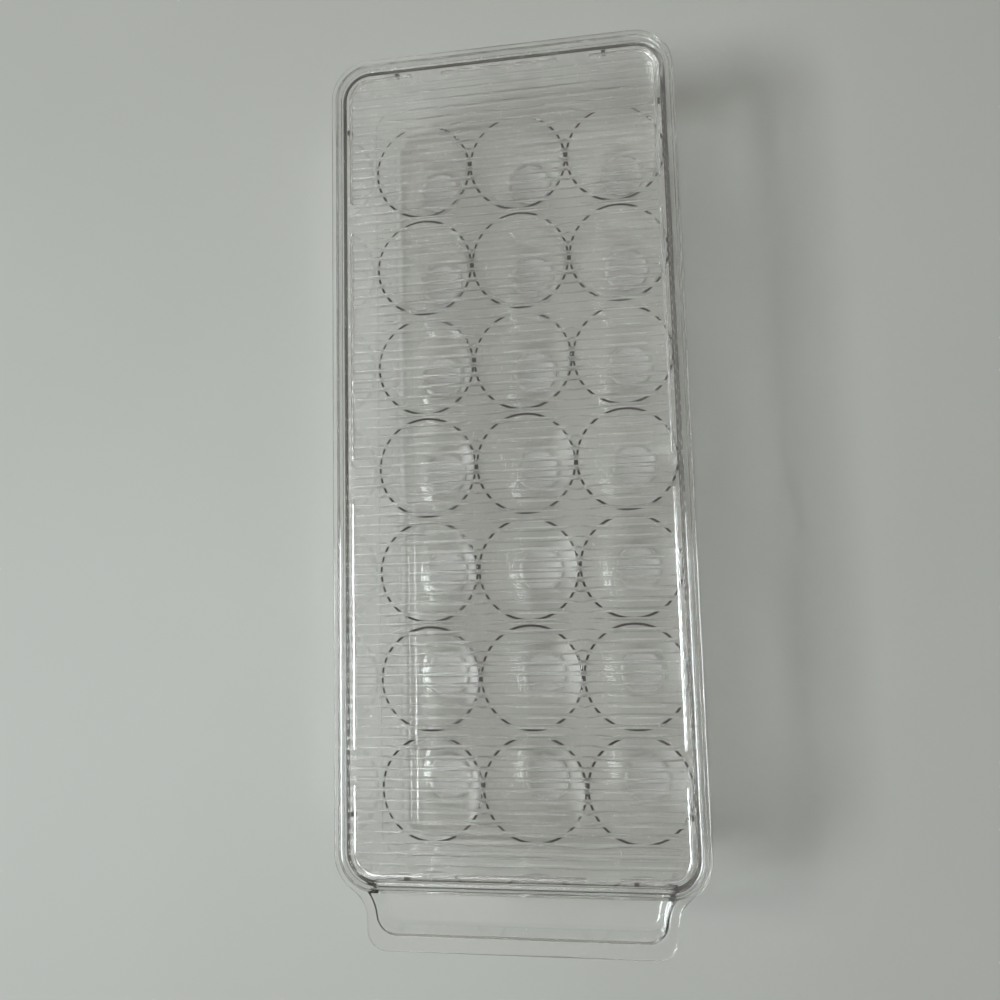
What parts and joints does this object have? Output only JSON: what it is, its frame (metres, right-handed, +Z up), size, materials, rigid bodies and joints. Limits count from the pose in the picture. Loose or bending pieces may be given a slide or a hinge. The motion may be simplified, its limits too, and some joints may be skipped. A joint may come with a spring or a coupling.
{
  "type": "egg storage container",
  "caption": "Clear lidded fridge bin for eggs: tapered box with a moulded pull handle, lift-out tray of round cups and a ribbed drop-in lid.",
  "frame": {"origin": "middle of the underside, on the plane that the bin stands on, under the middle of the rim", "axes": "+Z up, -Y towards the handle, X across the bin's width"},
  "size_m": [0.1468, 0.3637, 0.076],
  "materials": {
    "bin_plastic": "clear injection-moulded plastic, polished mould",
    "tray_plastic": "clear injection-moulded plastic, polished mould",
    "lid_plastic": "clear injection-moulded plastic, polished top, ribbed underside"
  },
  "bodies": {
    "bin": {"bin": "bin_plastic"},
    "egg_tray": {"egg_tray": "tray_plastic"},
    "lid": {"lid": "lid_plastic"}
  },
  "joints": [
    {"name": "tray_lift", "type": "slide", "parent": "bin", "child": "egg_tray", "axis": [0, 0, 1], "range_m": [0, 0.1]},
    {"name": "lid_lift", "type": "slide", "parent": "egg_tray", "child": "lid", "axis": [0, 0, 1], "range_m": [0, 0.12]}
  ]
}
